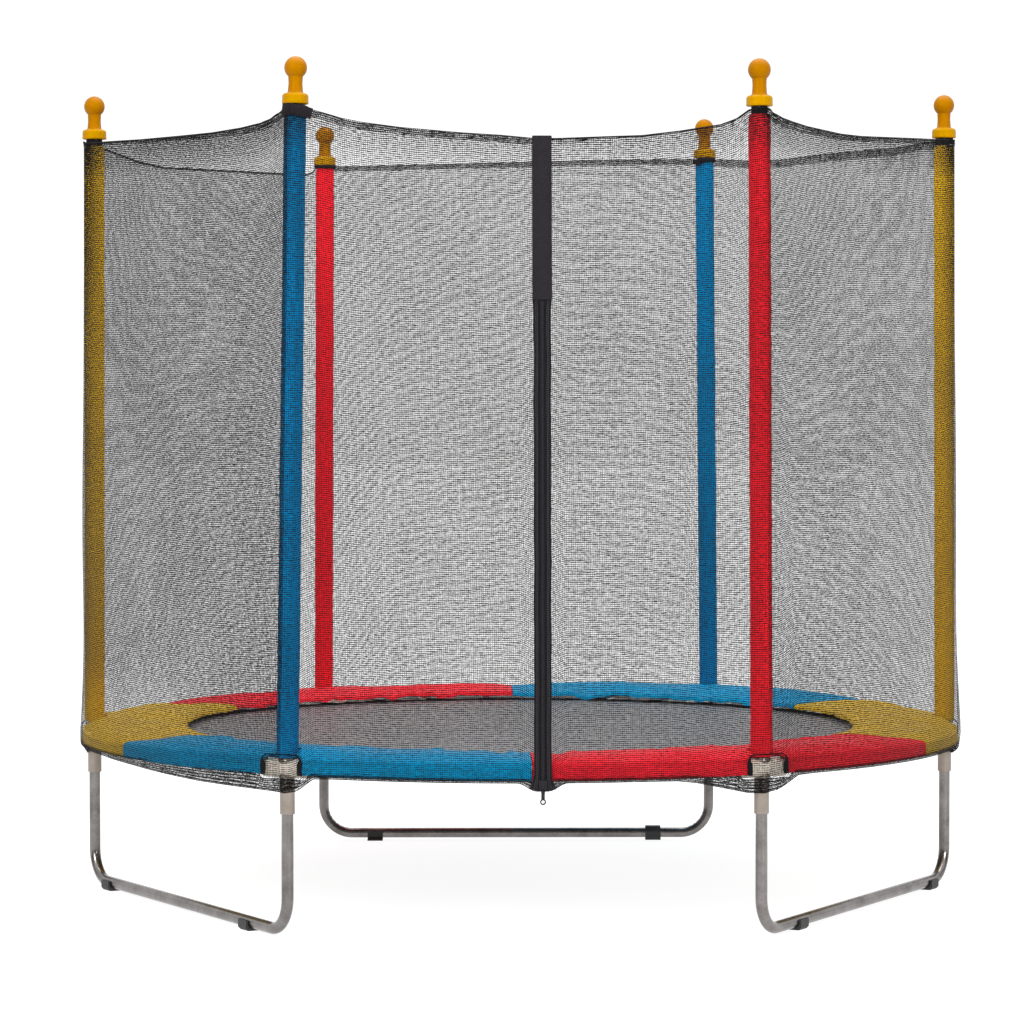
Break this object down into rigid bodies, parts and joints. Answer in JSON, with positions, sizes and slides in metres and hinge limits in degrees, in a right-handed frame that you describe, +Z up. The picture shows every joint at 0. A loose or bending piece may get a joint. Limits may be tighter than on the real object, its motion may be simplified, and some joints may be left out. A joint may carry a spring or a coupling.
{
  "type": "trampoline",
  "caption": "Round children's trampoline with a spring-hung mat, coloured rim pad, zipped safety net on foam-covered poles, and bent-tube legs.",
  "frame": {"origin": "on the floor under the middle of the mat", "axes": "+Z up, +X to the right as seen from the zipped front, -Y towards the front"},
  "size_m": [1.4256, 1.436, 1.2889],
  "materials": {
    "zinc_tube": "bright galvanised tube",
    "joint_zinc": "warm passivated zinc, satin",
    "clip_black": "satin moulded plastic",
    "foam_blue": "woven cover over foam",
    "foam_red": "woven cover over foam",
    "foam_yellow": "woven cover over foam",
    "cap_yellow": "moulded plastic, low gloss",
    "mat_black": "tight woven polypropylene",
    "spring_steel": "zinc-plated wire",
    "pad_blue": "coated woven cover, sewn over thin foam",
    "pad_red": "coated woven cover, sewn over thin foam",
    "pad_yellow": "coated woven cover, sewn over thin foam",
    "net_black": "fine knitted mesh",
    "webbing_black": "woven webbing",
    "coil_black": "nylon zip coil",
    "zip_metal": "dark painted die casting"
  },
  "bodies": {
    "frame": {"ring_tube_right_back": "zinc_tube", "ring_tube_back": "zinc_tube", "ring_tube_left_back": "zinc_tube", "ring_tube_left_front": "zinc_tube", "ring_tube_front": "zinc_tube", "ring_tube_right_front": "zinc_tube", "corner_joint_right": "joint_zinc", "corner_joint_back_right": "joint_zinc", "corner_joint_back_left": "joint_zinc", "corner_joint_left": "joint_zinc", "corner_joint_front_left": "joint_zinc", "corner_joint_front_right": "joint_zinc", "leg_back": "zinc_tube", "leg_left": "zinc_tube", "leg_right": "zinc_tube", "foot_clip_right": "clip_black", "foot_clip_back_right": "clip_black", "foot_clip_back_left": "clip_black", "foot_clip_left": "clip_black", "foot_clip_front_left": "clip_black", "foot_clip_front_right": "clip_black", "pole_right": "zinc_tube", "pole_back_right": "zinc_tube", "pole_back_left": "zinc_tube", "pole_left": "zinc_tube", "pole_front_left": "zinc_tube", "pole_front_right": "zinc_tube", "pole_foam_right": "foam_yellow", "pole_foam_back_right": "foam_blue", "pole_foam_back_left": "foam_red", "pole_foam_left": "foam_yellow", "pole_foam_front_left": "foam_blue", "pole_foam_front_right": "foam_red", "pole_cap_right": "cap_yellow", "pole_cap_back_right": "cap_yellow", "pole_cap_back_left": "cap_yellow", "pole_cap_left": "cap_yellow", "pole_cap_front_left": "cap_yellow", "pole_cap_front_right": "cap_yellow", "springs": "spring_steel", "pad_right": "pad_yellow", "pad_back_right": "pad_blue", "pad_back_left": "pad_red", "pad_left": "pad_yellow", "pad_front_left": "pad_blue", "pad_front_right": "pad_red", "net_right_back": "net_black", "net_back": "net_black", "net_left_back": "net_black", "net_left_front": "net_black", "net_front_left_half": "net_black", "net_front_right_half": "net_black", "net_right_front": "net_black", "zip_tape": "webbing_black", "zip_coil": "coil_black"},
    "mat": {"mat": "mat_black"},
    "zip_slider": {"zip_slider": "zip_metal"},
    "zip_pull": {"zip_pull": "zip_metal"}
  },
  "joints": [
    {"name": "mat_bounce", "type": "slide", "parent": "frame", "child": "mat", "axis": [0, 0, 1], "range_m": [-0.12, 0], "stiffness_N_per_m": 4000, "springref_m": 0.006, "deforming": ["springs"]},
    {"name": "zip_run", "type": "slide", "parent": "frame", "child": "zip_slider", "axis": [0, 0.1118, 0.9937], "range_m": [0, 0.67]},
    {"name": "pull_swing", "type": "hinge", "parent": "zip_slider", "child": "zip_pull", "pos_m": [0.02463, -0.72047, 0.23941], "axis": [-1, 0, 0], "range_deg": [0, 165]}
  ]
}
